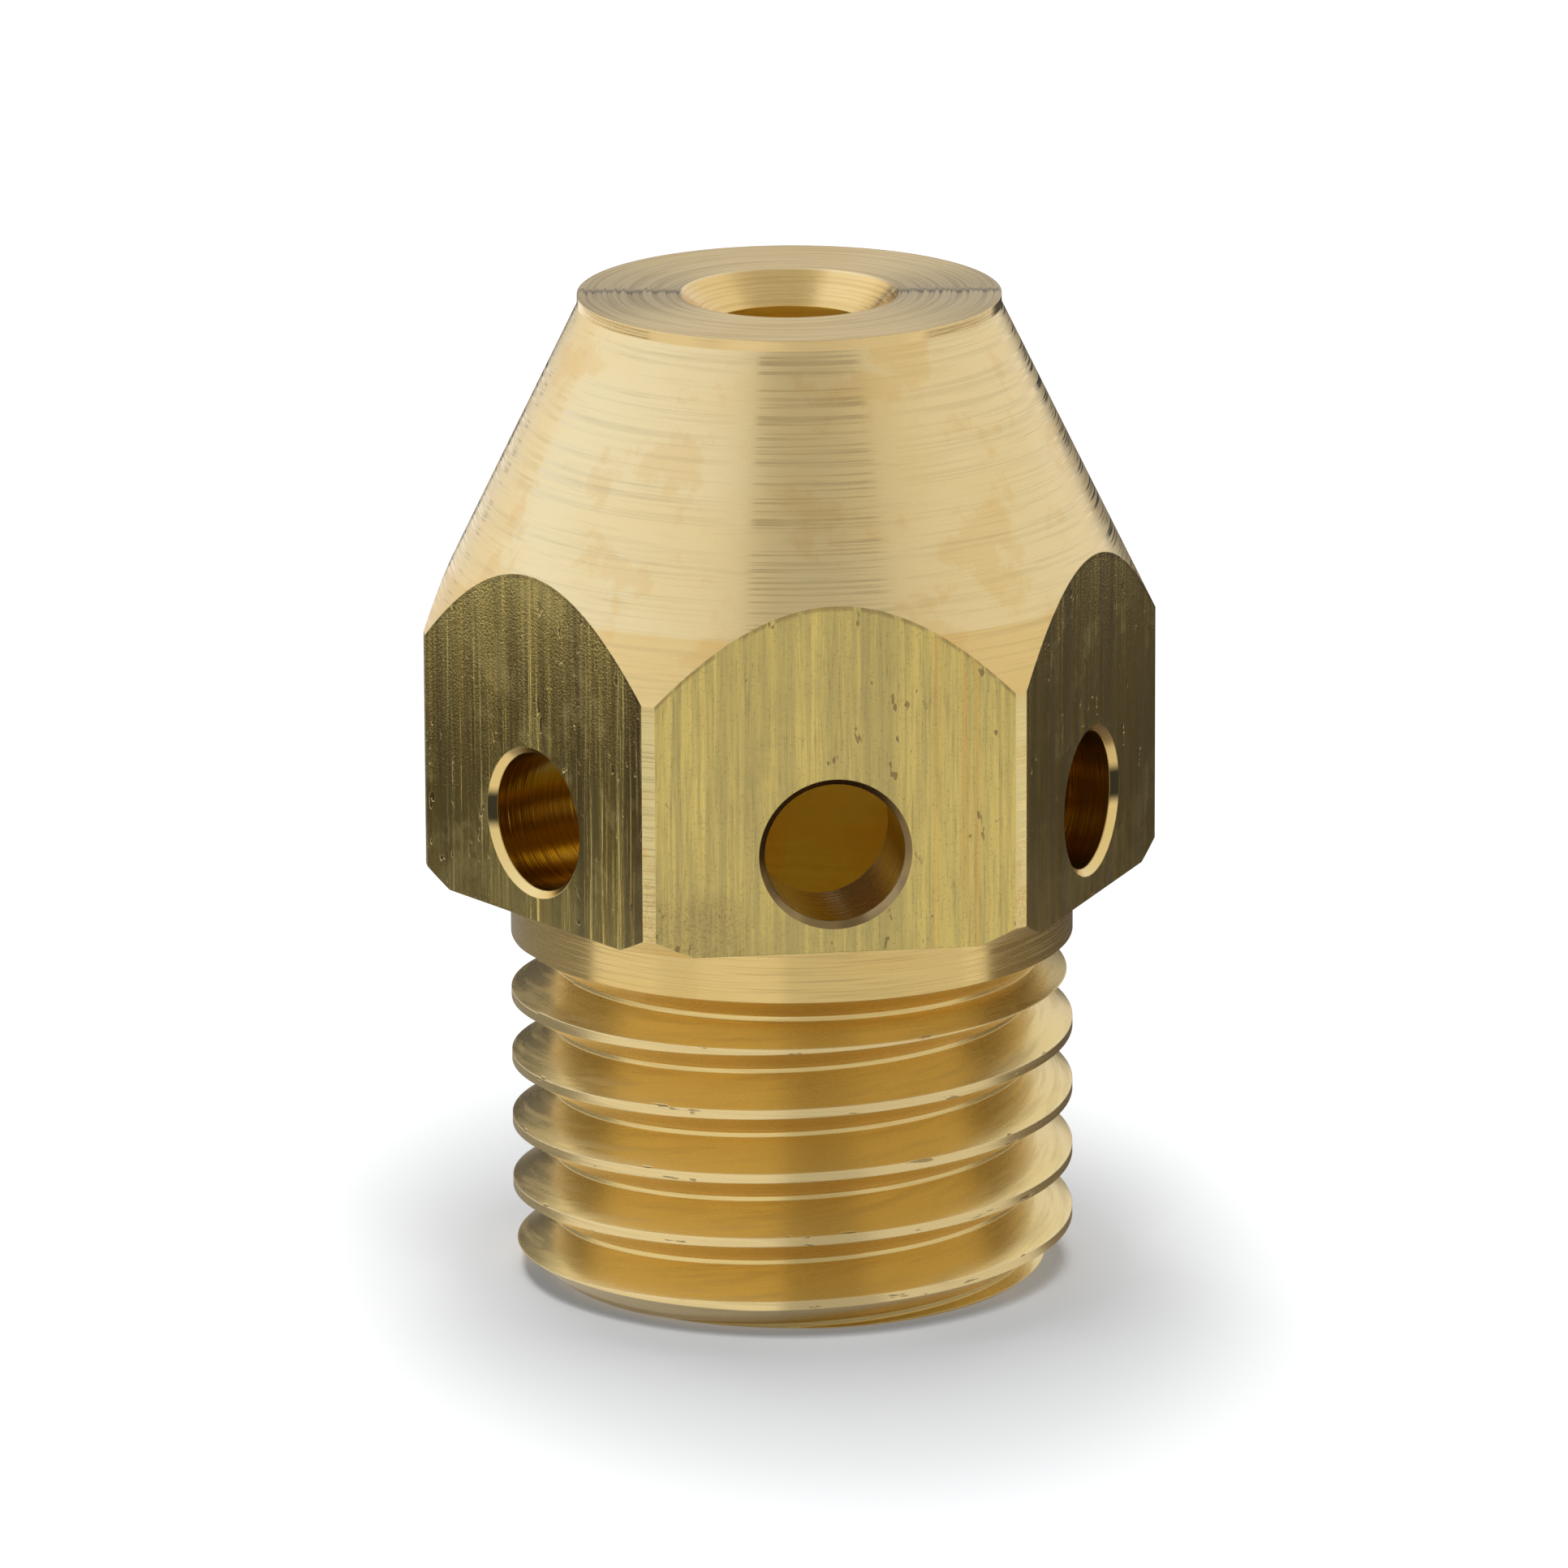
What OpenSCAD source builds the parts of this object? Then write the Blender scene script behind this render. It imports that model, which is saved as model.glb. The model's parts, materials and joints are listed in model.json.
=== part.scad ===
/* [Front face and cone] */
// Diameter of the flat front face
face_d = 8.22; // [6.5:0.01:9.5]
// Height of the plain band under the front face
face_band_h = 0.21; // [0.1:0.01:0.4]
// Height of the cone, from that band down to the turned corners
cone_h = 6.31; // [5:0.01:7]

/* [Hexagon] */
// Height of the whole head, from the shoulder to the front face
head_h = 11.5; // [11:0.01:13]
// Width across the flats
hex_af = 12.56; // [12:0.01:13.5]
// Diameter to which the corners are turned
corner_d = 14.35; // [13.9:0.01:14.5]
// Size of the 45 degree chamfer on the corners at the shoulder
corner_chamfer = 0.32; // [0.1:0.01:0.5]

/* [Gas holes] */
// Number of gas holes, one in each flat
gas_hole_count = 6; // [6]
// Diameter of a gas hole
gas_hole_d = 2.7; // [1.5:0.01:3.2]
// Width of the broken edge round a gas hole
gas_hole_edge = 0.13; // [0.05:0.01:0.25]
// Height of the gas holes above the shoulder
gas_hole_h = 1.94; // [1.9:0.01:2.6]

/* [Electrode bore] */
// Diameter of the bore for the electrode
electrode_bore_d = 3.02; // [2:0.01:3.4]
// Diameter of the countersink in the front face
mouth_d = 4.24; // [3.8:0.01:5.5]
// Half angle of the collet seat under the electrode bore
seat_half_angle = 30; // [20:1:45]
// Large diameter of the collet seat
seat_d = 5.6; // [4.5:0.1:6.5]

/* [Chamber] */
// Diameter of the chamber that takes the collet and feeds the gas holes
chamber_d = 8.2; // [7:0.1:8.4]
// Depth of the chamber's straight wall from the threaded end
chamber_h = 12; // [11.6:0.1:12.5]
// Point angle of the drill that leaves the chamber's closed end
drill_point_angle = 118; // [90:1:140]
// Broken edge at the chamber's mouth
chamber_edge = 0.15; // [0.05:0.01:0.3]

/* [Thread] */
// Height of the threaded shank, from its end to the shoulder
shank_h = 8; // [7.8:0.01:9]
// Outside diameter of the thread and of the collar above it
thread_d = 11; // [10.8:0.01:11.4]
// Rise of the thread in one turn
thread_pitch = 1.286; // [1.2:0.001:1.3]
// Depth of the thread
thread_depth = 0.82; // [0.6:0.01:0.84]
// Width of the flat on the thread's crest
crest_w = 0.18; // [0.14:0.01:0.22]
// Width of the flat in the thread's root
root_w = 0.09; // [0.05:0.01:0.12]
// Height of the lowest whole crest above the end, on the side of the front flat
first_crest_h = 0.73; // [0.4:0.01:0.9]
// Height at which the thread stops rising, above the end
thread_stop_h = 6.27; // [6.2:0.01:6.35]
// Turn over which the thread then runs out in the relief groove, in degrees
run_out_turn = 290; // [180:5:320]

/* [Relief groove] */
// Height of the plain collar between the shoulder and the relief groove
collar_h = 1.22; // [1.1:0.01:1.4]
// Width of the relief groove at the surface
relief_w = 0.83; // [0.75:0.01:0.9]
// Depth of the relief groove
relief_depth = 0.68; // [0.5:0.01:0.75]
// Width of the flat at the bottom of the relief groove
relief_root_w = 0.1; // [0.05:0.01:0.15]
// Width of the sloping wall under the collar
relief_top_wall_w = 0.46; // [0.4:0.01:0.5]

/* [Threaded end] */
// Diameter of the flat end face
end_d = 9.5; // [9.3:0.01:10]
// Height of the chamfer at the end
end_chamfer_h = 0.58; // [0.4:0.01:0.8]

/* [Hidden] */
total_h = shank_h + head_h;
brass = [0.79, 0.68, 0.44];
// What a cutter reaches past the surface that it cuts
reach = 1;
front_angle = -90;
corner_angle = 30;
round_fn = 96;
hex_fn = 6;
turn_steps = 72;

// Turned outline of the part, half of it, from the axis outwards
band_z = total_h - face_band_h;
cone_z = band_z - cone_h;
outline = [
    [0, 0],
    [end_d / 2, 0],
    [thread_d / 2, end_chamfer_h],
    [thread_d / 2, shank_h],
    [corner_d / 2 - corner_chamfer, shank_h],
    [corner_d / 2, shank_h + corner_chamfer],
    [corner_d / 2, cone_z],
    [face_d / 2, band_z],
    [face_d / 2, total_h],
    [0, total_h]
];

// Inside heights, each from the threaded end
seat_z = chamber_h + (chamber_d - seat_d) / 2 / tan(drill_point_angle / 2);
bore_z = seat_z + (seat_d - electrode_bore_d) / 2 / tan(seat_half_angle);
mouth_z = total_h - (mouth_d - electrode_bore_d) / 2;
gas_hole_z = shank_h + gas_hole_h;

// Outline of what is bored out, half of it, from the axis outwards
inner_outline = [
    [0, -reach],
    [chamber_d / 2 + chamber_edge + reach, -reach],
    [chamber_d / 2, chamber_edge],
    [chamber_d / 2, chamber_h],
    [seat_d / 2, seat_z],
    [electrode_bore_d / 2, bore_z],
    [electrode_bore_d / 2, mouth_z],
    [mouth_d / 2 + reach, total_h + reach],
    [0, total_h + reach]
];

// Thread groove: its angles are counted from the front flat, up the thread
clear = 0.05;
flank_w = (thread_pitch - crest_w - root_w) / 2;
flank_slope = flank_w / thread_depth;
groove_w = root_w + 2 * flank_slope * (thread_depth + clear);
groove_z = first_crest_h - thread_pitch / 2;
step_angle = 360 / turn_steps;
thread_first_angle = 360 * (-groove_w - groove_z) / thread_pitch;
thread_stop_angle = 360 * (thread_stop_h - groove_z) / thread_pitch;
thread_steps = ceil((thread_stop_angle - thread_first_angle) / step_angle);
// The run-out starts this far back along the thread, between two of its sections
run_out_overlap = 2.5 * step_angle;
run_out_steps = ceil((run_out_turn + run_out_overlap) / step_angle);
// What the run-out starts shallower than the thread, so that the two cuts stay apart
run_out_lift = 0.03;
run_out_depth = thread_depth - run_out_lift;

function groove_point(r, angle, z) =
    [r * cos(front_angle + angle), r * sin(front_angle + angle), z];

// One section of a groove: outer top, root top, root bottom, outer bottom
function groove_section(angle, depth, clear) =
    let (
        z = min(groove_z + thread_pitch * angle / 360, thread_stop_h),
        outer_r = thread_d / 2 + clear,
        root_r = thread_d / 2 - depth,
        outer_w = root_w + 2 * flank_slope * (depth + clear)
    )
    [
        groove_point(outer_r, angle, z + outer_w / 2),
        groove_point(root_r, angle, z + root_w / 2),
        groove_point(root_r, angle, z - root_w / 2),
        groove_point(outer_r, angle, z - outer_w / 2)
    ];

module turned_blank() {
    rotate_extrude($fn = round_fn)
        polygon(outline);
}

module hexagon_bar() {
    rotate([0, 0, front_angle + corner_angle])
        cylinder(d = hex_af / cos(corner_angle), h = total_h, $fn = hex_fn);
}

// Chamber, collet seat, electrode bore and countersink
module inner_bores() {
    rotate_extrude($fn = round_fn)
        polygon(inner_outline);
}

// One gas hole with its broken edge, standing on the part's axis
module gas_hole() {
    hole_r = gas_hole_d / 2;
    flat_r = hex_af / 2;
    rotate_extrude($fn = round_fn)
        polygon([
            [0, 0],
            [hole_r, 0],
            [hole_r, flat_r - gas_hole_edge],
            [hole_r + gas_hole_edge + reach, flat_r + reach],
            [0, flat_r + reach]
        ]);
}

module gas_holes() {
    for (i = [0:gas_hole_count - 1])
        translate([0, 0, gas_hole_z])
            rotate([0, 90, front_angle + i * 360 / gas_hole_count])
                gas_hole();
}

module relief_groove() {
    top_z = shank_h - collar_h;
    root_z = top_z - relief_top_wall_w;
    root_r = thread_d / 2 - relief_depth;
    rotate_extrude($fn = round_fn)
        polygon([
            [root_r, root_z],
            [root_r, root_z - relief_root_w],
            [thread_d / 2, top_z - relief_w],
            [thread_d / 2 + reach, top_z - relief_w],
            [thread_d / 2 + reach, top_z],
            [thread_d / 2, top_z]
        ]);
}

// Solid through a list of sections that all have as many corners
module swept_groove(sections) {
    corners = len(sections[0]);
    last = (len(sections) - 1) * corners;
    sides = [
        for (i = [0:len(sections) - 2], k = [0:corners - 1])
            let (
                a = i * corners + k,
                b = i * corners + (k + 1) % corners
            )
            each [[a, b, b + corners], [a, b + corners, a + corners]]
    ];
    ends = [
        [for (k = [corners - 1:-1:0]) k],
        [for (k = [0:corners - 1]) last + k]
    ];
    polyhedron([for (section = sections) each section], concat(sides, ends));
}

module thread_groove() {
    swept_groove([
        for (i = [thread_steps:-1:0])
            groove_section(thread_stop_angle - i * step_angle, thread_depth, clear)
    ]);
}

// The end of the thread: it no longer rises, and gets shallower as it goes round
module thread_run_out() {
    swept_groove([
        for (i = [0:run_out_steps])
            groove_section(
                thread_stop_angle - run_out_overlap + i * step_angle,
                run_out_depth * (1 - i / run_out_steps) - clear,
                2 * clear
            )
    ]);
}

// Hexagon bar turned to its outline
module turned_bar() {
    intersection() {
        turned_blank();
        hexagon_bar();
    }
}

// The turned bar with its relief groove, its thread and the thread's run-out
module threaded_bar() {
    difference() {
        difference() {
            turned_bar();
            relief_groove();
            thread_groove();
        }
        thread_run_out();
    }
}

module collet_body() {
    color(brass)
        difference() {
            threaded_bar();
            inner_bores();
            gas_holes();
        }
}

collet_body();
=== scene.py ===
"""Looks of the collet body: one turned, drilled and threaded piece of brass on a pale floor."""
import json
import math

import bmesh
import bpy
from mathutils import Matrix, Vector


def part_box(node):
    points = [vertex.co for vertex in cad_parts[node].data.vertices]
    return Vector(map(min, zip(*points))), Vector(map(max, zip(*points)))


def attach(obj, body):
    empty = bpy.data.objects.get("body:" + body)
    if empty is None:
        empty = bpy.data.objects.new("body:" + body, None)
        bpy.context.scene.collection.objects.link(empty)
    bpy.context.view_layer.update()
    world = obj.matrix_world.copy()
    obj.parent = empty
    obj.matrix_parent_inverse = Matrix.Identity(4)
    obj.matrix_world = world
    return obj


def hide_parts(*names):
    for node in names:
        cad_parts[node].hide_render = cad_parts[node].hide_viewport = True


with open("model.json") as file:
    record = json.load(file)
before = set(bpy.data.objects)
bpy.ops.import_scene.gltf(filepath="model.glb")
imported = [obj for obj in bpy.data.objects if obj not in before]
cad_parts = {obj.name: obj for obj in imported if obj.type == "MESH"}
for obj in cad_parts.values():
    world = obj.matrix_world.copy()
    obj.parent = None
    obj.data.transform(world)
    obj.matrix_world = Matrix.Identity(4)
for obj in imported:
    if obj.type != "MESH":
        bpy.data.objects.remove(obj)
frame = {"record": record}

MM = 0.001
TURN = 2 * math.pi
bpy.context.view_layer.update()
camera_azimuth = math.radians(-7.70)
mounts = {mount["name"]: mount for mount in frame["record"]["mounts"]}
_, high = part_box("collet_body")

# Outer sizes and fits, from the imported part
total_h = high.z
corner_r = high.x
flat_r = high.y
shank_h = mounts["shoulder"]["pos_m"][2]
thread_r = mounts["thread"]["dims"]["r_mm"] * MM
bore_r = mounts["electrode_bore"]["dims"]["r_mm"] * MM
chamber_r = mounts["collet_chamber"]["dims"]["r_mm"] * MM
collar_h = mounts["collar"]["dims"]["length_mm"] * MM

# Front face and cone
face_r = 4.11 * MM
face_band_h = 0.21 * MM
cone_h = 6.31 * MM
mouth_r = 2.12 * MM
corner_chamfer = 0.32 * MM

# Inside
chamber_h = 12 * MM
chamber_edge = 0.15 * MM
seat_r = 2.8 * MM
seat_half_angle = math.radians(30)
drill_half_angle = math.radians(59)

# Relief groove under the collar, and the threaded end
relief_w = 0.83 * MM
relief_depth = 0.68 * MM
relief_root_w = 0.1 * MM
relief_top_wall_w = 0.46 * MM
end_r = 4.75 * MM
end_chamfer_h = 0.58 * MM

# Thread, with its angles counted from the front flat, up the thread
thread_pitch = 1.286 * MM
thread_depth = 0.82 * MM
crest_w = 0.18 * MM
root_w = 0.09 * MM
first_crest_h = 0.73 * MM
thread_stop_h = 6.27 * MM
run_out_turn = math.radians(290)

# Gas holes
gas_hole_count = 6
gas_hole_r = 1.35 * MM
gas_hole_edge = 0.13 * MM
gas_hole_z = shank_h + 1.94 * MM

# Heights that follow from these
band_z = total_h - face_band_h
mouth_z = total_h - (mouth_r - bore_r)
seat_z = chamber_h + (chamber_r - seat_r) / math.tan(drill_half_angle)
bore_z = seat_z + (seat_r - bore_r) / math.tan(seat_half_angle)
collar_z = shank_h - collar_h
relief_z = collar_z - relief_top_wall_w
relief_r = thread_r - relief_depth

# How much the white room lights matt surfaces, against the 1 at which it shows
ROOM_LIGHT = 0.14
# Edges look rounded by this much
EDGE_ROUND = 0.03 * MM


class Wire:
    """A socket of a node tree that can stand in a Python sum."""

    def __init__(self, bench, socket):
        self.bench = bench
        self.socket = socket

    def out(self, name):
        """Another output of the same node."""
        return Wire(self.bench, self.socket.node.outputs[name])

    def math(self, operation, *values):
        sockets = dict(enumerate(values))
        return self.bench.add("ShaderNodeMath", {"operation": operation}, sockets)

    def __add__(self, other):
        return self.math("ADD", self, other)

    def __radd__(self, other):
        return self.math("ADD", other, self)

    def __sub__(self, other):
        return self.math("SUBTRACT", self, other)

    def __rsub__(self, other):
        return self.math("SUBTRACT", other, self)

    def __mul__(self, other):
        return self.math("MULTIPLY", self, other)

    def __rmul__(self, other):
        return self.math("MULTIPLY", other, self)

    def __truediv__(self, other):
        return self.math("DIVIDE", self, other)

    def __rtruediv__(self, other):
        return self.math("DIVIDE", other, self)

    def __gt__(self, other):
        return self.math("GREATER_THAN", self, other)

    def __lt__(self, other):
        return self.math("LESS_THAN", self, other)

    def __abs__(self):
        return self.math("ABSOLUTE", self)

    def root(self):
        return self.math("SQRT", self)

    def cos(self):
        return self.math("COSINE", self)

    def sin(self):
        return self.math("SINE", self)

    def least(self, other):
        return self.math("MINIMUM", self, other)

    def most(self, other):
        return self.math("MAXIMUM", self, other)


class Bench:
    """A node tree, and the one method that adds its nodes."""

    def __init__(self, tree):
        self.tree = tree

    def add(self, kind, settings=None, sockets=None, out=0):
        """A node of this type: its settings first, then values or wires for its sockets."""
        node = self.tree.nodes.new(kind)
        for name, value in (settings or {}).items():
            setattr(node, name, value)
        for name, value in (sockets or {}).items():
            for part in value if isinstance(value, list) else [value]:
                if isinstance(part, Wire):
                    self.tree.links.new(part.socket, node.inputs[name])
                else:
                    node.inputs[name].default_value = part
        return Wire(self, node.outputs[out]) if node.outputs else node

    def vector(self, x, y, z):
        return self.add("ShaderNodeCombineXYZ", None, {"X": x, "Y": y, "Z": z})

    def length(self, x, y):
        """Distance from the axis of a place with this x and y."""
        return (x * x + y * y).root()

    def ease(self, value, start, end):
        """0 at start, 1 at end, and smooth between them."""
        sockets = {"Value": value, "From Min": start, "From Max": end}
        return self.add("ShaderNodeMapRange", {"interpolation_type": "SMOOTHSTEP"}, sockets)

    def noise(self, place, detail=2, rough=0.5):
        """Noise round 0.5, at one wave a unit of the place."""
        sockets = {"Vector": place, "Scale": 1, "Detail": detail, "Roughness": rough}
        return self.add("ShaderNodeTexNoise", None, sockets)

    def seen_ray(self, ray):
        """From a Light Path: 1 for a ray that shows things straight, in metal or in glass."""
        mirrored = ray.out("Is Glossy Ray").most(ray.out("Is Transmission Ray"))
        return ray.out("Is Camera Ray").most(mirrored)

    def mix(self, first, second, factor):
        """A colour that goes from first to second as factor goes from 0 to 1."""
        colours = [value if isinstance(value, Wire) else (*value, 1) for value in (first, second)]
        sockets = {0: factor, 6: colours[0], 7: colours[1]}
        return self.add("ShaderNodeMix", {"data_type": "RGBA"}, sockets, out=2)


class Finish(Bench):
    """A metal finish: its places in millimetres, and the shader that ends it."""

    def __init__(self, name):
        self.material = bpy.data.materials.new(name)
        self.material.use_nodes = True
        super().__init__(self.material.node_tree)
        self.tree.nodes.clear()
        place = self.add("ShaderNodeTexCoord").out("Object")
        parts = self.add("ShaderNodeSeparateXYZ", None, {0: place})
        self.x = parts.out("X") / MM
        self.y = parts.out("Y") / MM
        self.z = parts.out("Z") / MM
        self.radius = self.length(self.x, self.y)
        slant_x = self.x * math.cos(TURN / 12)
        slant_y = self.y * math.sin(TURN / 12)
        slanted = abs(slant_x + slant_y).most(abs(slant_x - slant_y))
        self.toward_flat = abs(self.y).most(slanted)

    def grain(self, along, across, detail=2, rough=0.5):
        """Noise that is longer round the axis than along it, as a cutting tool leaves it."""
        step = (self.z + self.radius) * across
        return self.noise(self.vector(self.x * along, self.y * along, step), detail, rough)

    def cloud(self, size, shift=0, detail=2, rough=0.5):
        """Noise in blotches of this size in millimetres."""
        scale = 1 / size
        place = self.vector(self.x * scale + shift, self.y * scale, self.z * scale)
        return self.noise(place, detail, rough)

    def on_front_flat(self):
        """1 on the front flat, 0 elsewhere."""
        return self.ease(-1 * self.y, flat_r / MM - 0.28, flat_r / MM - 0.08)

    def end(self, colour, roughness, relief, stretch=0.0):
        """The metal shader with its relief in millimetres over slightly rounded edges."""
        rounded = self.add("ShaderNodeBevel", {"samples": 4}, {"Radius": EDGE_ROUND})
        normal = self.add("ShaderNodeBump", None, {
            "Strength": 1, "Distance": MM, "Height": relief, "Normal": rounded})
        shader = self.add("ShaderNodeBsdfPrincipled", None, {
            "Base Color": colour, "Metallic": 1.0, "Roughness": roughness,
            "Anisotropic": stretch, "Anisotropic Rotation": 0.25, "Normal": normal})
        self.add("ShaderNodeOutputMaterial", None, {"Surface": shader})
        return self.material


PALE = (0.92, 0.72, 0.39)
CREAM = (0.85, 0.66, 0.33)
GOLD = (0.82, 0.59, 0.23)
GILT = (0.83, 0.62, 0.25)
STRAW = (0.82, 0.625, 0.19)
PALE_STRAW = (0.80, 0.66, 0.30)
OLIVE = (0.50, 0.40, 0.15)
AMBER = (0.78, 0.49, 0.13)
# Hole walls: partly their own amber, partly painted shade inside the holes.
SHADED_AMBER = (0.50, 0.31, 0.04)
RUST = (0.72, 0.40, 0.10)
BROWN = (0.24, 0.16, 0.07)
# Colour of the painted dark reflections on the gas hole edges.
DARK_REFLECTION = (0.05, 0.04, 0.02)


def face_brass():
    """Front face, its band and the countersink: rings of the facing tool, and one dark line
    across the face, beside its middle, which is a painted reflection of the rings."""
    f = Finish("face_brass")
    rings = f.grain(0.25, 13, 4, 0.65)
    cuts = f.ease(rings, 0.46, 0.6)
    band = f.ease(f.radius, face_r / MM - 0.05, face_r / MM - 0.01)
    sink = 1 - f.ease(f.radius, mouth_r / MM - 0.05, mouth_r / MM)
    colour = f.mix(PALE, CREAM, f.ease(f.cloud(2.2), 0.35, 0.75) * 0.4)
    # Painted reflection: a dark line where the facing rings run towards the camera.
    line_off_middle = 0.16
    beside_line = f.y * math.cos(camera_azimuth) - f.x * math.sin(camera_azimuth) - line_off_middle
    painted_reflection_line = f.ease(abs(beside_line + (rings - 0.5) * 1.3), 0.22, 0.04) * (1 - band) * (1 - sink)
    colour = f.mix(colour, BROWN, cuts * (0.32 - band * 0.3) + painted_reflection_line * 0.65)
    colour = f.mix(colour, AMBER, band * 0.4 + sink * 0.6)
    roughness = 0.3 - sink * 0.12 - band * 0.12 + cuts * 0.06
    return f.end(colour, roughness, rings * 0.011, 0.9)


def cone_brass():
    """Cone and turned corners: fine tool lines, tarnish that is deeper low down, and bruises."""
    f = Finish("cone_brass")
    rings = f.grain(0.14, 36, 4, 0.6)
    smooth = 1 - f.ease(rings, 0.4, 0.5)
    scuffs = f.ease(f.grain(0.4, 20, 3, 0.6), 0.56, 0.66)
    tarnish = f.ease(f.cloud(1.5, 3.1, 6, 0.6), 0.54, 0.62)
    low_edge = band_z / MM - 4.9 - f.grain(0.06, 5) * 0.5
    low_zone = 1 - f.ease(f.z - low_edge, -0.05, 0.05)
    bruise = (1 - f.ease(f.z, 9.6, 10.4)) * f.ease(f.cloud(0.9, 6.2), 0.4, 0.5)
    specks = f.ease(f.cloud(0.05, 1.2, 1), 0.45, 0.55)
    on_corner = 1 - f.ease(f.z, 12.7, 13.1)
    colour = f.mix(CREAM, GOLD, f.ease(f.cloud(2.5, 8.4), 0.4, 0.6) * 0.3 + low_zone * 0.7)
    colour = f.mix(colour, RUST, low_zone * 0.15)
    colour = f.mix(colour, PALE_STRAW, on_corner * 0.9)
    colour = f.mix(colour, RUST, tarnish * 0.24 + bruise * specks * 0.5)
    colour = f.mix(colour, BROWN, smooth * 0.16 + scuffs * 0.08)
    roughness = 0.34 - smooth * 0.22
    return f.end(colour, roughness, rings * 0.0012, 0.55)


def flat_brass():
    """Flats of the drawn hexagon bar: upright drawing lines, pits and dull patches. The front
    flat has two rust streaks, a brighter, less olive right side and a stain at its lower left."""
    f = Finish("flat_brass")
    on_front = f.on_front_flat()
    lines = f.noise(f.vector(f.x * 10, f.y * 10, f.z * 0.25), 4, 0.75)
    hairs = f.noise(f.vector(f.x * 28, f.y * 28, f.z * 1.2), 2)
    waves = f.noise(f.vector(f.x * 1.3 + 4.2, f.y * 1.3, f.z * 0.05), 3, 0.6)
    stripes = f.noise(f.vector(f.x * 3 + 1.1, f.y * 3, f.z * 0.1), 3, 0.6)
    bands = f.ease(waves, 0.4, 0.62) * 0.6 + f.ease(stripes, 0.42, 0.58) * 0.8
    rust_lines = f.ease(f.noise(f.vector(f.x * 3.4 + 7.3, f.y * 3.4, f.z * 0.08), 1), 0.68, 0.74)
    sand = f.cloud(0.045, 2.6, 2)
    low_part = 1 - f.ease(f.z, 8.6, 10.2)
    dull = f.ease(f.cloud(1.3, 5.3, 6, 0.7) + low_part * 0.08, 0.5, 0.66)
    marks = f.noise(f.vector(f.x * 5, f.y * 5, f.z * 2.5 + 1.7), 2)
    pits = (1 - f.ease(marks, 0.29, 0.33)) * f.ease(f.cloud(1.8, 9.1), 0.45, 0.55)
    # The front flat is less olive towards its right side.
    less_olive_right = f.ease(f.x, 0.6, 3) * on_front
    colour = f.mix(STRAW, OLIVE, (bands * 0.45 + dull * 0.25) * (1 - less_olive_right * 0.9))
    colour = f.mix(colour, OLIVE, f.ease(lines, 0.42, 0.64) * 0.62 + bands * 0.12)
    streaks = f.ease(abs(f.x - 2.0 + waves * 0.1), 0.14, 0.03) + f.ease(abs(f.x - 2.72), 0.09, 0.02)
    rusty = rust_lines * 0.35 + streaks * on_front * f.ease(waves, 0.3, 0.5) * 0.3
    colour = f.mix(colour, RUST, rusty)
    colour = f.mix(colour, BROWN, f.ease(hairs, 0.52, 0.75) * 0.3 + f.ease(sand, 0.55, 0.75) * 0.3)
    stained = f.ease(f.z + waves, 9.9, 9.4) * f.ease(f.x + waves, -0.9, -1.5) * on_front
    colour = f.mix(colour, BROWN, stained * (f.ease(sand, 0.35, 0.7) * 0.2 + 0.14))
    # Two dark stripes on the left flat: partly drawing marks, partly painted reflection.
    stripes_and_painted_reflection = f.ease(abs(f.x + 3.8), 0.24, 0.1) + f.ease(abs(f.x + 4.66), 0.12, 0.04) * 0.6
    cone_slope = (corner_r - face_r) / cone_h
    under_cone = face_r / MM + (band_z / MM - f.z) * cone_slope - f.radius
    burr = f.ease(under_cone, 0.06, 0.02) * f.ease(marks, 0.38, 0.5)
    colour = f.mix(colour, BROWN, pits * 0.75 + stripes_and_painted_reflection * 0.6 + burr * 0.5)
    grooves = stripes * 0.03 + lines * 0.005 + hairs * 0.002
    relief = waves * 0.11 + grooves + sand * 0.003 - pits * 0.01
    return f.end(colour, 0.12 + lines * 0.12 + dull * 0.08, relief)


def hole_brass():
    """Gas holes: an amber wall, partly painted shade, with rings from the drill, and a broken edge
    that is bright but for painted dark reflections at each outer side and a brown one round the
    front hole."""
    f = Finish("hole_brass")
    depth = f.toward_flat * 11
    marks = f.noise(f.vector(f.x * 0.4, depth, f.z * 0.4), 2, 0.6)
    edge_start = (flat_r - gas_hole_edge) / MM
    edge = f.ease(f.toward_flat, edge_start - 0.02, edge_start)
    in_front = f.ease(-1 * f.y, 5.6, 6)
    # Painted dark reflection at the outer side of each hole's edge.
    painted_reflection_spots = f.ease(abs(f.x), 5.7, 5.8) * f.ease(abs(f.z - gas_hole_z / MM), 0.46, 0.2)
    # Painted brown reflection on the edge round the front hole.
    painted_front_reflection = in_front * (0.85 + f.ease(f.cloud(0.9, 4.4, 1), 0.4, 0.6) * 0.15)
    colour = f.mix(SHADED_AMBER, GOLD, edge)
    colour = f.mix(colour, BROWN, f.ease(marks, 0.5, 0.7) * (1 - edge) * 0.3 + painted_front_reflection * edge)
    colour = f.mix(colour, DARK_REFLECTION, painted_reflection_spots * edge)
    relief = marks * (1 - edge) * 0.012
    return f.end(colour, 0.18 + marks * 0.1, relief)


def bore_brass():
    """Chamber, collet seat and electrode bore, seen only through their mouths."""
    f = Finish("bore_brass")
    rings = f.grain(0.4, 6, 2)
    # The yellow is partly brass's own and partly painted light that brightens the dim chamber.
    colour = f.mix((1.0, 0.78, 0.18), (1.0, 0.7, 0.14), f.ease(f.cloud(1.2), 0.4, 0.7))
    return f.end(colour, 0.3 + rings * 0.1, rings * 0.006)


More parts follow.
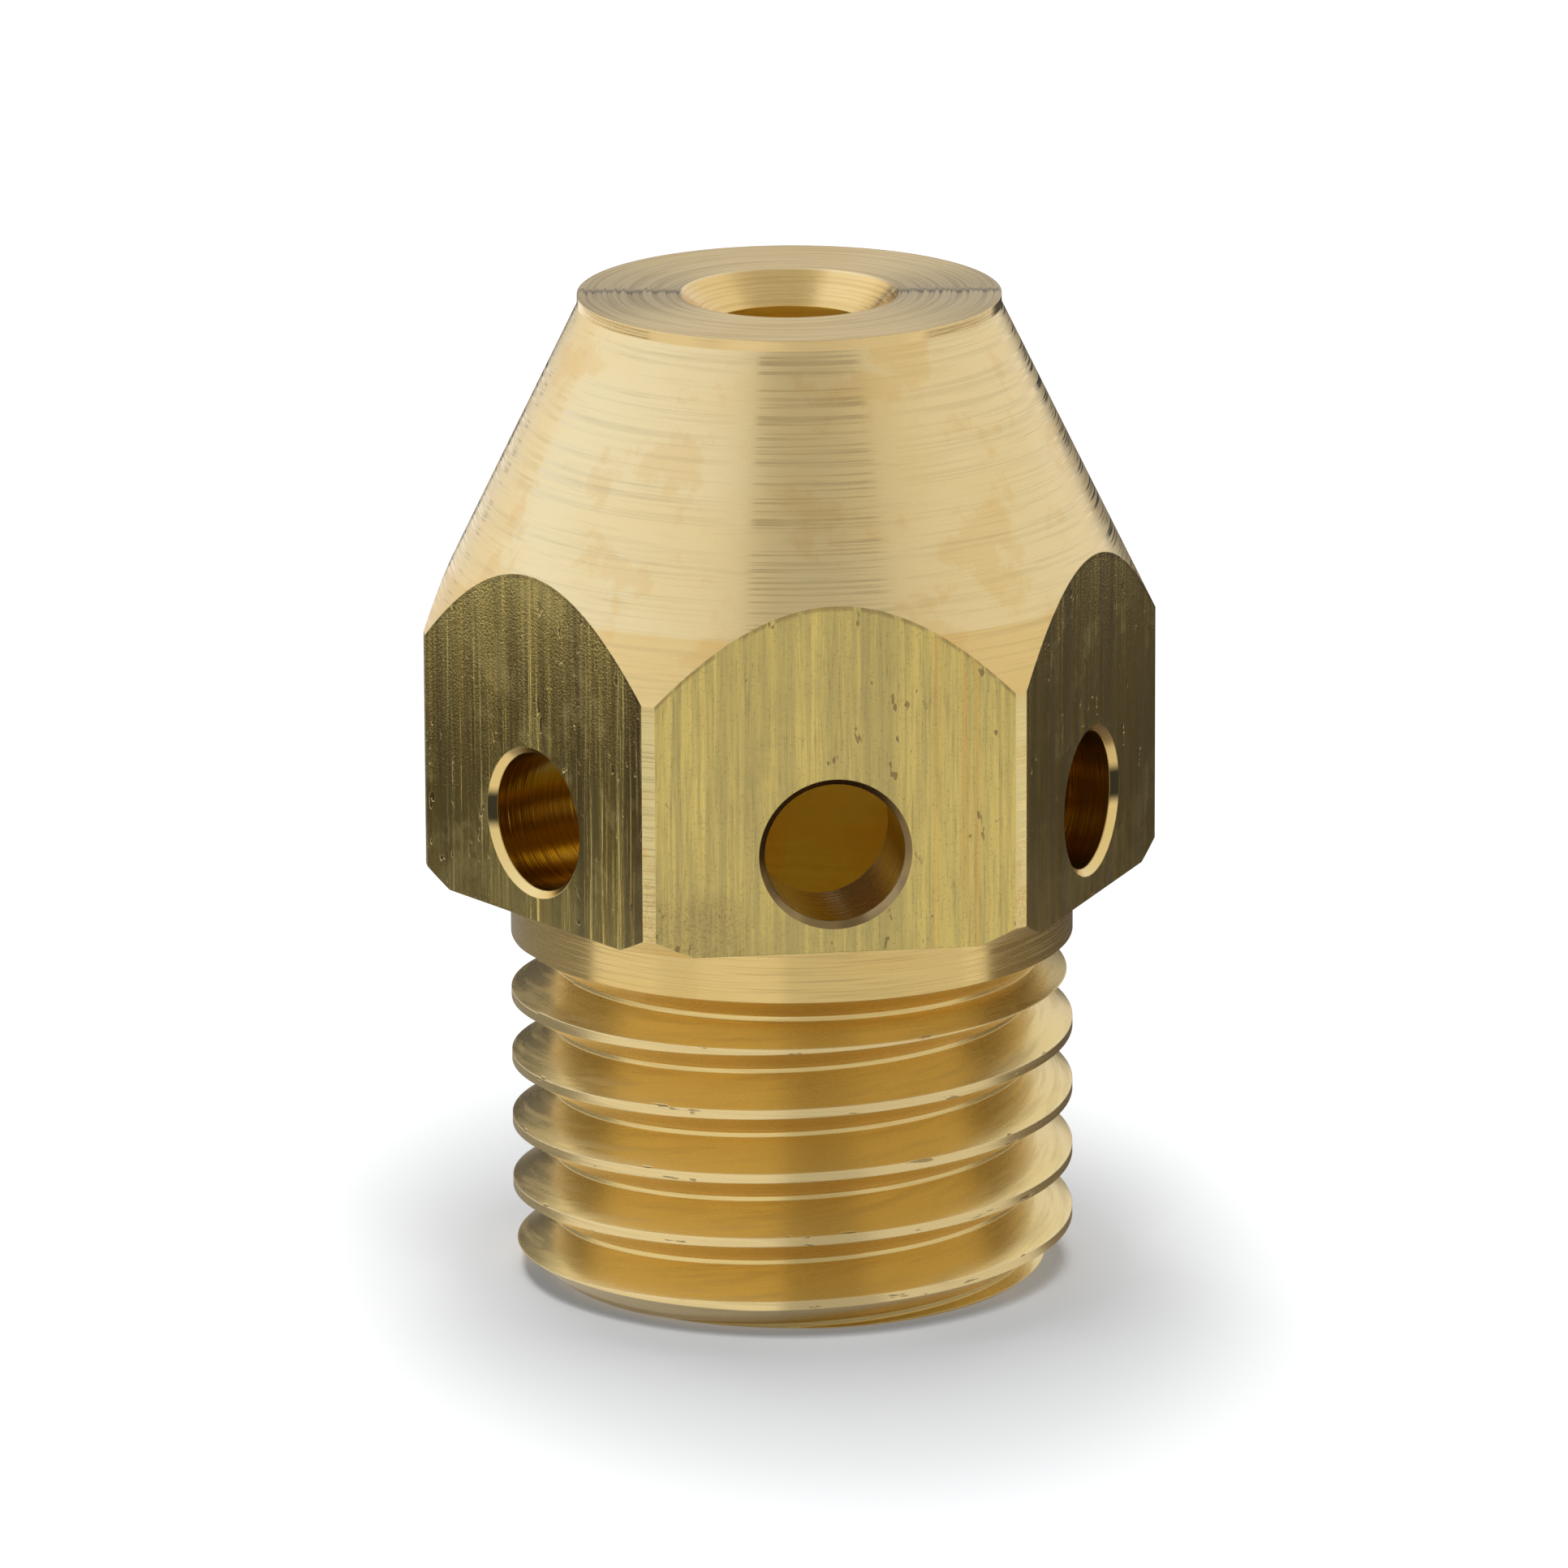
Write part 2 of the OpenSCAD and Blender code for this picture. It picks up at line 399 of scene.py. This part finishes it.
def collar_brass():
    """Collar and shoulder: brushed round the axis."""
    f = Finish("collar_brass")
    rings = f.grain(0.4, 26, 3, 0.65)
    cuts = f.ease(rings, 0.45, 0.68)
    patches = f.grain(0.3, 1.1)
    colour = f.mix(GOLD, AMBER, f.ease(patches, 0.5, 0.75) * 0.25)
    colour = f.mix(colour, BROWN, cuts * 0.22)
    return f.end(colour, 0.2 + cuts * 0.16, rings * 0.002, 0.6)


def thread_brass():
    """Thread, relief groove and threaded end: paler crests with nicks, and undersides browned as
    painted shade.
    """
    f = Finish("thread_brass")
    rings = f.grain(0.5, 18, 3, 0.6)
    cuts = f.ease(rings, 0.45, 0.7)
    stain = f.ease(f.cloud(0.9, 7.7, 5, 0.7), 0.58, 0.8)
    on_crest = f.ease(f.radius, thread_r / MM - 0.06, thread_r / MM - 0.03)
    nicks = on_crest * f.ease(f.noise(f.vector(f.x * 1.4, f.y * 1.4, f.z * 9), 3), 0.66, 0.69)
    colour = f.mix(GILT, CREAM, on_crest * 0.7)
    normal = f.add("ShaderNodeNewGeometry").out("Normal")
    upward = f.add("ShaderNodeSeparateXYZ", None, {0: normal}).out("Z")
    # Painted shade: faces that look down are browned.
    painted_shade_below = f.ease(upward, -0.1, -0.6)
    colour = f.mix(colour, BROWN, stain * 0.1 + cuts * 0.12 + painted_shade_below * 0.15)
    colour = f.mix(colour, BROWN, nicks * 0.7)
    return f.end(colour, 0.26 + cuts * 0.12, rings * 0.003 - nicks * 0.01)


finishes = {
    "face": face_brass(),
    "cone": cone_brass(),
    "flat": flat_brass(),
    "hole": hole_brass(),
    "bore": bore_brass(),
    "collar": collar_brass(),
    "thread": thread_brass(),
}


def turned_outline():
    """Closed outline of the turned piece as (radius, height), from the chamber's mouth outwards."""
    return [
        (chamber_r + chamber_edge, 0),
        (end_r, 0),
        (thread_r, end_chamfer_h),
        (thread_r, collar_z - relief_w),
        (relief_r, relief_z - relief_root_w),
        (relief_r, relief_z),
        (thread_r, collar_z),
        (thread_r, shank_h),
        (corner_r - corner_chamfer, shank_h),
        (corner_r, shank_h + corner_chamfer),
        (corner_r, band_z - cone_h),
        (face_r, band_z),
        (face_r, total_h),
        (mouth_r, total_h),
        (bore_r, mouth_z),
        (bore_r, bore_z),
        (seat_r, seat_z),
        (chamber_r, chamber_h),
        (chamber_r, chamber_edge),
    ]


def turned_piece(name, facets=288):
    """The outline turned about the axis."""
    outline = turned_outline()
    form = bmesh.new()
    rings = []
    for i in range(facets):
        angle = TURN * i / facets
        rings.append([
            form.verts.new((radius * math.cos(angle), radius * math.sin(angle), z))
            for radius, z in outline])
    for i, here in enumerate(rings):
        there = rings[(i + 1) % facets]
        for k in range(len(outline)):
            form.faces.new((here[k - 1], here[k], there[k], there[k - 1]))
    bmesh.ops.recalc_face_normals(form, faces=form.faces)
    mesh = bpy.data.meshes.new(name)
    form.to_mesh(mesh)
    form.free()
    piece = bpy.data.objects.new(name, mesh)
    bpy.context.scene.collection.objects.link(piece)
    return piece


CUT_SIZES = {
    "Thread radius": thread_r,
    "Thread pitch": thread_pitch,
    "Thread depth": thread_depth,
    "Flank slope": (thread_pitch - crest_w - root_w) / 2 / thread_depth,
    "Root width": root_w,
    "Base height": first_crest_h - thread_pitch / 2,
    "Stop height": thread_stop_h,
    "Run-out turn": run_out_turn,
    "Flat distance": flat_r,
    "Body height": total_h,
    "Hole radius": gas_hole_r,
    "Hole edge": gas_hole_edge,
    "Hole height": gas_hole_z,
    "Hole start": chamber_r - 1 * MM,
}


def groove_cutter(bench, size, first, last, lifts, steps_a_turn=160):
    """Tapered bar swept along the thread from one angle to another. It rises with the thread
    up to its stop height, and lifts out of the shank from the first to the last of its lifts."""
    clear = 0.1 * MM
    front = -TURN / 4
    height = size["Thread depth"] + clear
    wide = size["Root width"] + size["Flank slope"] * 2 * height
    count = (last - first) * steps_a_turn / TURN
    line = bench.add("GeometryNodeCurvePrimitiveLine")
    path = bench.add("GeometryNodeResampleCurve", None, {"Curve": line, "Count": count})
    step = bench.add("GeometryNodeInputIndex")
    angle = first + step * TURN / steps_a_turn
    lift = lifts[0] + step * (lifts[1] - lifts[0]) / count
    reach = size["Thread radius"] - size["Thread depth"] + height / 2 + lift
    z = size["Base height"] + angle * size["Thread pitch"] / TURN
    turn = angle + front
    place = bench.vector(reach * turn.cos(), reach * turn.sin(), z.least(size["Stop height"]))
    path = bench.add("GeometryNodeSetPosition", None, {"Geometry": path, "Position": place})
    path = bench.add("GeometryNodeSetCurveNormal", {"mode": "Z_UP"}, {"Curve": path})
    section = bench.add("GeometryNodeCurvePrimitiveQuadrilateral", {"mode": "TRAPEZOID"}, {
        "Height": height, "Bottom Width": size["Root width"], "Top Width": wide, "Offset": 0.0})
    section = bench.add("GeometryNodeTransform", None, {
        "Geometry": section, "Rotation": (0, 0, -TURN / 4)})
    return bench.add("GeometryNodeCurveToMesh", None, {
        "Curve": path, "Profile Curve": section, "Fill Caps": True})


def thread_cutters(bench, size):
    """The thread's groove, and its run-out, which goes round level and leaves the shank."""
    first = (size["Base height"] + size["Thread pitch"]) * -TURN / size["Thread pitch"]
    stop = (size["Stop height"] - size["Base height"]) * TURN / size["Thread pitch"]
    overlap = math.radians(12.5)
    shallower = 0.03 * MM
    clear_of_shank = size["Thread depth"] + 0.02 * MM
    groove = groove_cutter(bench, size, first, stop, (0, 0))
    run_out = groove_cutter(
        bench, size, stop - overlap, stop + size["Run-out turn"], (shallower, clear_of_shank))
    return groove, run_out


def hole_cutters(bench, size):
    """Drills with their edge breakers, one pointing out through each flat."""
    reach = 1 * MM
    depth = size["Flat distance"] + reach - size["Hole start"]
    drill = bench.add("GeometryNodeMeshCylinder", None, {
        "Vertices": 96, "Radius": size["Hole radius"], "Depth": depth})
    drill = bench.add("GeometryNodeTransform", None, {
        "Geometry": drill, "Translation": bench.vector(0, 0, size["Hole start"] + depth / 2)})
    edge_h = size["Hole edge"] + reach
    breaker = bench.add("GeometryNodeMeshCone", None, {
        "Vertices": 96, "Radius Top": size["Hole radius"] + edge_h,
        "Radius Bottom": size["Hole radius"], "Depth": edge_h})
    breaker = bench.add("GeometryNodeTransform", None, {
        "Geometry": breaker,
        "Translation": bench.vector(0, 0, size["Flat distance"] - size["Hole edge"])})
    cutter = bench.add("GeometryNodeMeshBoolean", {"operation": "UNION", "solver": "MANIFOLD"}, {
        "Mesh 2": [drill, breaker]})
    index = bench.add("GeometryNodeInputIndex")
    spots = bench.add("GeometryNodeMeshLine", None, {
        "Count": gas_hole_count, "Offset": (0, 0, 0)})
    spots = bench.add("GeometryNodeSetPosition", None, {
        "Geometry": spots, "Position": bench.vector(0, 0, size["Hole height"])})
    turn = bench.vector(0, TURN / 4, index * TURN / gas_hole_count - TURN / 4)
    ring = bench.add("GeometryNodeInstanceOnPoints", None, {
        "Points": spots, "Instance": cutter,
        "Rotation": bench.add("FunctionNodeEulerToRotation", None, {0: turn})})
    return bench.add("GeometryNodeRealizeInstances", None, {"Geometry": ring})


def hexagon_bar(bench, size):
    """Six-sided bar that the turned piece is cut from, with a flat at the front."""
    return bench.add("GeometryNodeMeshCylinder", None, {
        "Vertices": 6, "Radius": size["Flat distance"] / math.cos(TURN / 12),
        "Depth": size["Body height"] * 2 + 2 * MM})


def finish_zones(bench, size):
    """Each finish with the faces that it covers. A later one covers an earlier one."""
    near = 0.02 * MM
    position = bench.add("GeometryNodeInputPosition")
    normal = bench.add("GeometryNodeInputNormal")
    parts = bench.add("ShaderNodeSeparateXYZ", None, {0: position})
    z = parts.out("Z")
    away = bench.length(parts.out("X"), parts.out("Y"))
    plane = bench.add("ShaderNodeVectorMath", {"operation": "DOT_PRODUCT"}, {
        0: position, 1: normal}, out=1)
    beside_hole = abs(z - size["Hole height"]) < size["Hole radius"] + size["Hole edge"]
    upright = abs(bench.add("ShaderNodeSeparateXYZ", None, {0: normal}).out("Z")) < 0.01
    return [
        ("cone", z > 0),
        ("face", (z > band_z - near).most((z > mouth_z) * (away < mouth_r))),
        ("bore", (away < chamber_r + chamber_edge / 2) * (z < mouth_z)),
        ("collar", (away > thread_r - near) * (z < shank_h + corner_chamfer)),
        ("thread", (away > chamber_r + chamber_edge / 2) * (z < collar_z - near / 4)),
        ("hole", beside_hole * (away > chamber_r + near) * (away < corner_r - 3 * near)),
        ("flat", upright * (abs(plane - size["Flat distance"]) < near / 4)),
    ]


def cut_tree():
    """The cuts that follow a rule: the six flats, the thread and the ring of gas holes."""
    tree = bpy.data.node_groups.new("collet_body_cuts", "GeometryNodeTree")
    tree.interface.new_socket("Geometry", in_out="INPUT", socket_type="NodeSocketGeometry")
    for name in CUT_SIZES:
        tree.interface.new_socket(name, in_out="INPUT", socket_type="NodeSocketFloat")
    tree.interface.new_socket("Geometry", in_out="OUTPUT", socket_type="NodeSocketGeometry")
    bench = Bench(tree)
    start = bench.add("NodeGroupInput")
    size = {name: start.out(name) for name in CUT_SIZES}
    bar = bench.add("GeometryNodeMeshBoolean", {"operation": "INTERSECT", "solver": "MANIFOLD"}, {
        "Mesh 2": [start.out("Geometry"), hexagon_bar(bench, size)]})
    body = bar
    for cutter in (*thread_cutters(bench, size), hole_cutters(bench, size)):
        body = bench.add("GeometryNodeMeshBoolean", {
            "operation": "DIFFERENCE", "solver": "MANIFOLD"}, {"Mesh 1": body, "Mesh 2": cutter})
    body = bench.add("GeometryNodeRealizeInstances", None, {"Geometry": body})
    for name, zone in finish_zones(bench, size):
        body = bench.add("GeometryNodeSetMaterial", None, {
            "Geometry": body, "Selection": zone, "Material": finishes[name]})
    bench.add("NodeGroupOutput", None, {"Geometry": body})
    return tree


def cut_piece(blank, name):
    """The blank with its cuts made, as a plain mesh."""
    tree = cut_tree()
    cuts = blank.modifiers.new("cuts", "NODES")
    cuts.node_group = tree
    for item in tree.interface.items_tree:
        if item.name in CUT_SIZES:
            cuts[item.identifier] = CUT_SIZES[item.name]
    graph = bpy.context.evaluated_depsgraph_get()
    mesh = bpy.data.meshes.new_from_object(blank.evaluated_get(graph))
    blank.modifiers.remove(cuts)
    bpy.data.objects.remove(blank)
    # The first slot is empty, and no face uses it
    mesh.materials.pop(index=0)
    mesh.shade_smooth()
    mesh.set_sharp_from_angle(angle=math.radians(18))
    piece = bpy.data.objects.new(name, mesh)
    bpy.context.scene.collection.objects.link(piece)
    return piece


body = cut_piece(turned_piece("blank"), "brass_body")
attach(body, "root")
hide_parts("collet_body")


def plain_material(name):
    """A new material with an empty node tree, and the bench that fills it."""
    material = bpy.data.materials.new(name)
    material.use_nodes = True
    bench = Bench(material.node_tree)
    bench.tree.nodes.clear()
    return material, bench


def floor_paper():
    """White paper: matt, and where it is seen lifted to plain white. It is lifted less round
    the object, so that the shadow stays, but not right at its foot."""
    material, bench = plain_material("floor_paper")
    seen = bench.seen_ray(bench.add("ShaderNodeLightPath"))
    paper = bench.add("ShaderNodeBsdfDiffuse", None, {
        "Color": bench.mix((0.84, 0.84, 0.84), (0.98, 0.99, 1), seen)})
    place = bench.add("ShaderNodeSeparateXYZ", None, {
        0: bench.add("ShaderNodeTexCoord").out("Object")})
    behind = place.out("Y") + 1 * MM
    off_shadow = (place.out("X") * place.out("X") + behind * behind / 3).root()
    off_axis = bench.length(place.out("X"), place.out("Y"))
    far_out = bench.ease(off_shadow, 6.5 * MM, 10.5 * MM)
    at_foot = bench.ease(off_axis, 6.6 * MM, 5 * MM)
    strength = 0.05 + far_out * 0.13 + at_foot * 0.12
    lift = bench.add("ShaderNodeEmission", None, {"Strength": seen * strength})
    both = bench.add("ShaderNodeAddShader", None, {0: paper, 1: lift})
    bench.add("ShaderNodeOutputMaterial", None, {"Surface": both})
    return material


def paper_floor(half_width=2.0):
    """Flat sheet under the object, far larger than the camera sees."""
    w = half_width
    mesh = bpy.data.meshes.new("floor")
    mesh.from_pydata([(-w, -w, 0), (w, -w, 0), (w, w, 0), (-w, w, 0)], [], [(0, 1, 2, 3)])
    mesh.materials.append(floor_paper())
    floor = bpy.data.objects.new("floor", mesh)
    bpy.context.scene.collection.objects.link(floor)


def white_room():
    """World that looks white, and lights matt surfaces at part of that strength."""
    world = bpy.data.worlds.new("white_room")
    world.use_nodes = True
    bpy.context.scene.world = world
    bench = Bench(world.node_tree)
    bench.tree.nodes.clear()
    ray = bench.add("ShaderNodeLightPath")
    shown = bench.seen_ray(ray) * (ray.out("Diffuse Depth") < 0.5)
    strength = ROOM_LIGHT + shown * (1 - ROOM_LIGHT)
    sky = bench.add("ShaderNodeBackground", None, {"Color": (1, 1, 1, 1), "Strength": strength})
    bench.add("ShaderNodeOutputWorld", None, {"Surface": sky})


def strip_softbox(name, place, size, power):
    """Lamp that hangs level over the object and lights the floor, but isn't seen in the metal."""
    data = bpy.data.lights.new(name, "AREA")
    data.shape = "RECTANGLE"
    data.size, data.size_y = size
    data.energy = power
    lamp = bpy.data.objects.new(name, data)
    lamp.location = place
    lamp.visible_camera = False
    lamp.visible_glossy = False
    bpy.context.scene.collection.objects.link(lamp)


def grey(shade):
    return (shade, shade, shade)


def card(name, corners, sides, colours):
    """Card that only shows in the metal's reflections, as the cards round a studio table do.
    Its corners are in millimetres, with x to the camera's right and y away from the camera."""
    turn = Matrix.Rotation(camera_azimuth, 4, "Z")
    mesh = bpy.data.meshes.new(name)
    mesh.from_pydata([turn @ Vector(corner) * MM for corner in corners], [], sides)
    shades = mesh.color_attributes.new("shade", "FLOAT_COLOR", "POINT")
    for spot, colour in zip(shades.data, colours):
        spot.color = (*colour, 1)
    material, bench = plain_material(name)
    material.cycles.emission_sampling = "NONE"
    shade = bench.add("ShaderNodeAttribute", {"attribute_name": "shade"})
    in_metal = bench.add("ShaderNodeLightPath").out("Diffuse Depth") < 0.5
    strength = ROOM_LIGHT + in_metal * (1 - ROOM_LIGHT)
    glow = bench.add("ShaderNodeEmission", None, {"Color": shade, "Strength": strength})
    bench.add("ShaderNodeOutputMaterial", None, {"Surface": glow})
    mesh.materials.append(material)
    piece = bpy.data.objects.new(name, mesh)
    piece.visible_camera = False
    piece.visible_diffuse = False
    piece.visible_shadow = False
    piece.visible_transmission = False
    bpy.context.scene.collection.objects.link(piece)


def round_card(name, azimuths, foot, top, first, last):
    """Card bent round the object, from its first colour to its last. Azimuth 0 is towards the
    camera and 90 to its right. Foot and top are each a distance from the axis and a height."""
    steps = 32
    corners = []
    colours = []
    for i in range(steps + 1):
        share = i / steps
        turn = math.radians(azimuths[0] + (azimuths[1] - azimuths[0]) * share)
        for distance, height in (foot, top):
            corners.append((distance * math.sin(turn), -distance * math.cos(turn), height))
            colours.append([a + (b - a) * share for a, b in zip(first, last)])
    sides = [(2 * i, 2 * i + 2, 2 * i + 3, 2 * i + 1) for i in range(steps)]
    card(name, corners, sides, colours)


def floor_card(name, azimuths, inner, outer, first, last, tint=(1, 1, 1)):
    """Flat ring piece that lies on the floor. One that starts further out lies higher."""
    height = 0.1 + inner / 1000
    round_card(name, azimuths, (inner, height), (outer, height),
               [first * part for part in tint], [last * part for part in tint])


def gap_card(shade):
    """The dimmer gap between the left and the right wall card, in front and overhead."""
    corners = [
        (-330, -1200, 0), (930, -1200, 0), (435, -1200, 500),
        (-193, -1200, 500), (435, 60, 500), (-193, 60, 500)]
    card("gap_card", corners, [(0, 1, 2, 3), (3, 2, 4, 5)], [grey(shade)] * len(corners))


# Tint of the dimmest floor cards
WARM = (1.16, 1, 0.86)
# Distance and height of the foot and the top of both walls
WALL_FOOT = (1400, 140)
WALL_TOP = (1400, 6000)

paper_floor()
white_room()
strip_softbox("top_softbox", (-0.02, 0.03, 0.5), (0.28, 0.76), 2.8)
gap_card(0.52)
round_card("left_wall_card", (-126, -10), WALL_FOOT, WALL_TOP,
           (1.06, 1.18, 1.5), (0.86, 0.88, 0.92))
round_card("right_wall_card", (30, 160), WALL_FOOT, WALL_TOP,
           (0.82, 0.81, 0.77), (0.90, 0.94, 1.02))
round_card("back_card", (160, 192), (350, 70), (350, 250), grey(0.5), grey(0.54))
round_card("back_left_low_card", (187, 203), (345, 0.2), (345, 130),
           grey(0.06), grey(0.1))
round_card("back_left_high_card", (198, 213), (340, 90), (340, 260),
           grey(0.08), grey(0.2))
round_card("back_low_card", (165, 187), (350, 0.2), (350, 70), grey(0.08), grey(0.08))
floor_card("chamber_floor_card", (-180, 180), 0.1, 4, 0.25, 0.25)
floor_card("left_front_floor_card", (-82, -3), 6, 400, 0.88, 0.86)
floor_card("left_corner_floor_card", (-52, -36), 32, 60, 0.6, 0.6)
floor_card("right_front_floor_card", (-3, 80), 6, 400, 0.71, 0.75)
floor_card("right_corner_floor_card", (69, 80), 32, 60, 1.1, 1.1)
floor_card("left_foot_floor_card", (-85, -3), 4.95, 6, 0.5, 0.35)
floor_card("front_foot_floor_card", (-3, 50), 4.95, 6, 0.3, 0.45)
floor_card("front_near_floor_card", (-3, 24), 6.5, 18, 0.44, 0.48)
floor_card("back_far_floor_card", (142, 196), 74, 400, 0.05, 0.05)
floor_card("right_near_floor_card", (80, 126), 6, 32, 0.2, 0.1, WARM)
floor_card("right_back_floor_card", (126, 198), 6, 32, 0.1, 0.1, WARM)
floor_card("right_far_floor_card", (80, 198), 32, 74, 0.07, 0.07, WARM)
floor_card("left_near_floor_card", (-162, -82), 6, 33, 0.28, 0.28)
floor_card("left_far_floor_card", (-162, -82), 33, 66, 0.045, 0.065, WARM)


def camera_at_photo():
    """Camera with the place, tilt and angle of view that were fitted to the photograph."""
    elevation = math.radians(15.126)
    roll = math.radians(-0.246)
    distance = 261.40 * MM
    target = Vector((-0.1415, 0, 9.655)) * MM
    data = bpy.data.cameras.new("camera")
    data.sensor_fit = "HORIZONTAL"
    data.sensor_width = 36
    data.lens = 307.31
    data.clip_start = 0.01
    camera = bpy.data.objects.new("camera", data)
    right = Vector((1, 0, 0))
    ahead = Vector((0, math.cos(elevation), -math.sin(elevation)))
    up = right.cross(ahead)
    right_rolled = right * math.cos(roll) + up * math.sin(roll)
    up_rolled = up * math.cos(roll) - right * math.sin(roll)
    axes = Matrix((right_rolled, up_rolled, -ahead)).transposed().to_4x4()
    place = Matrix.Translation(target - ahead * distance)
    camera.matrix_world = Matrix.Rotation(camera_azimuth, 4, "Z") @ place @ axes
    bpy.context.scene.collection.objects.link(camera)
    bpy.context.scene.camera = camera


camera_at_photo()
bpy.context.scene.view_settings.view_transform = "Standard"
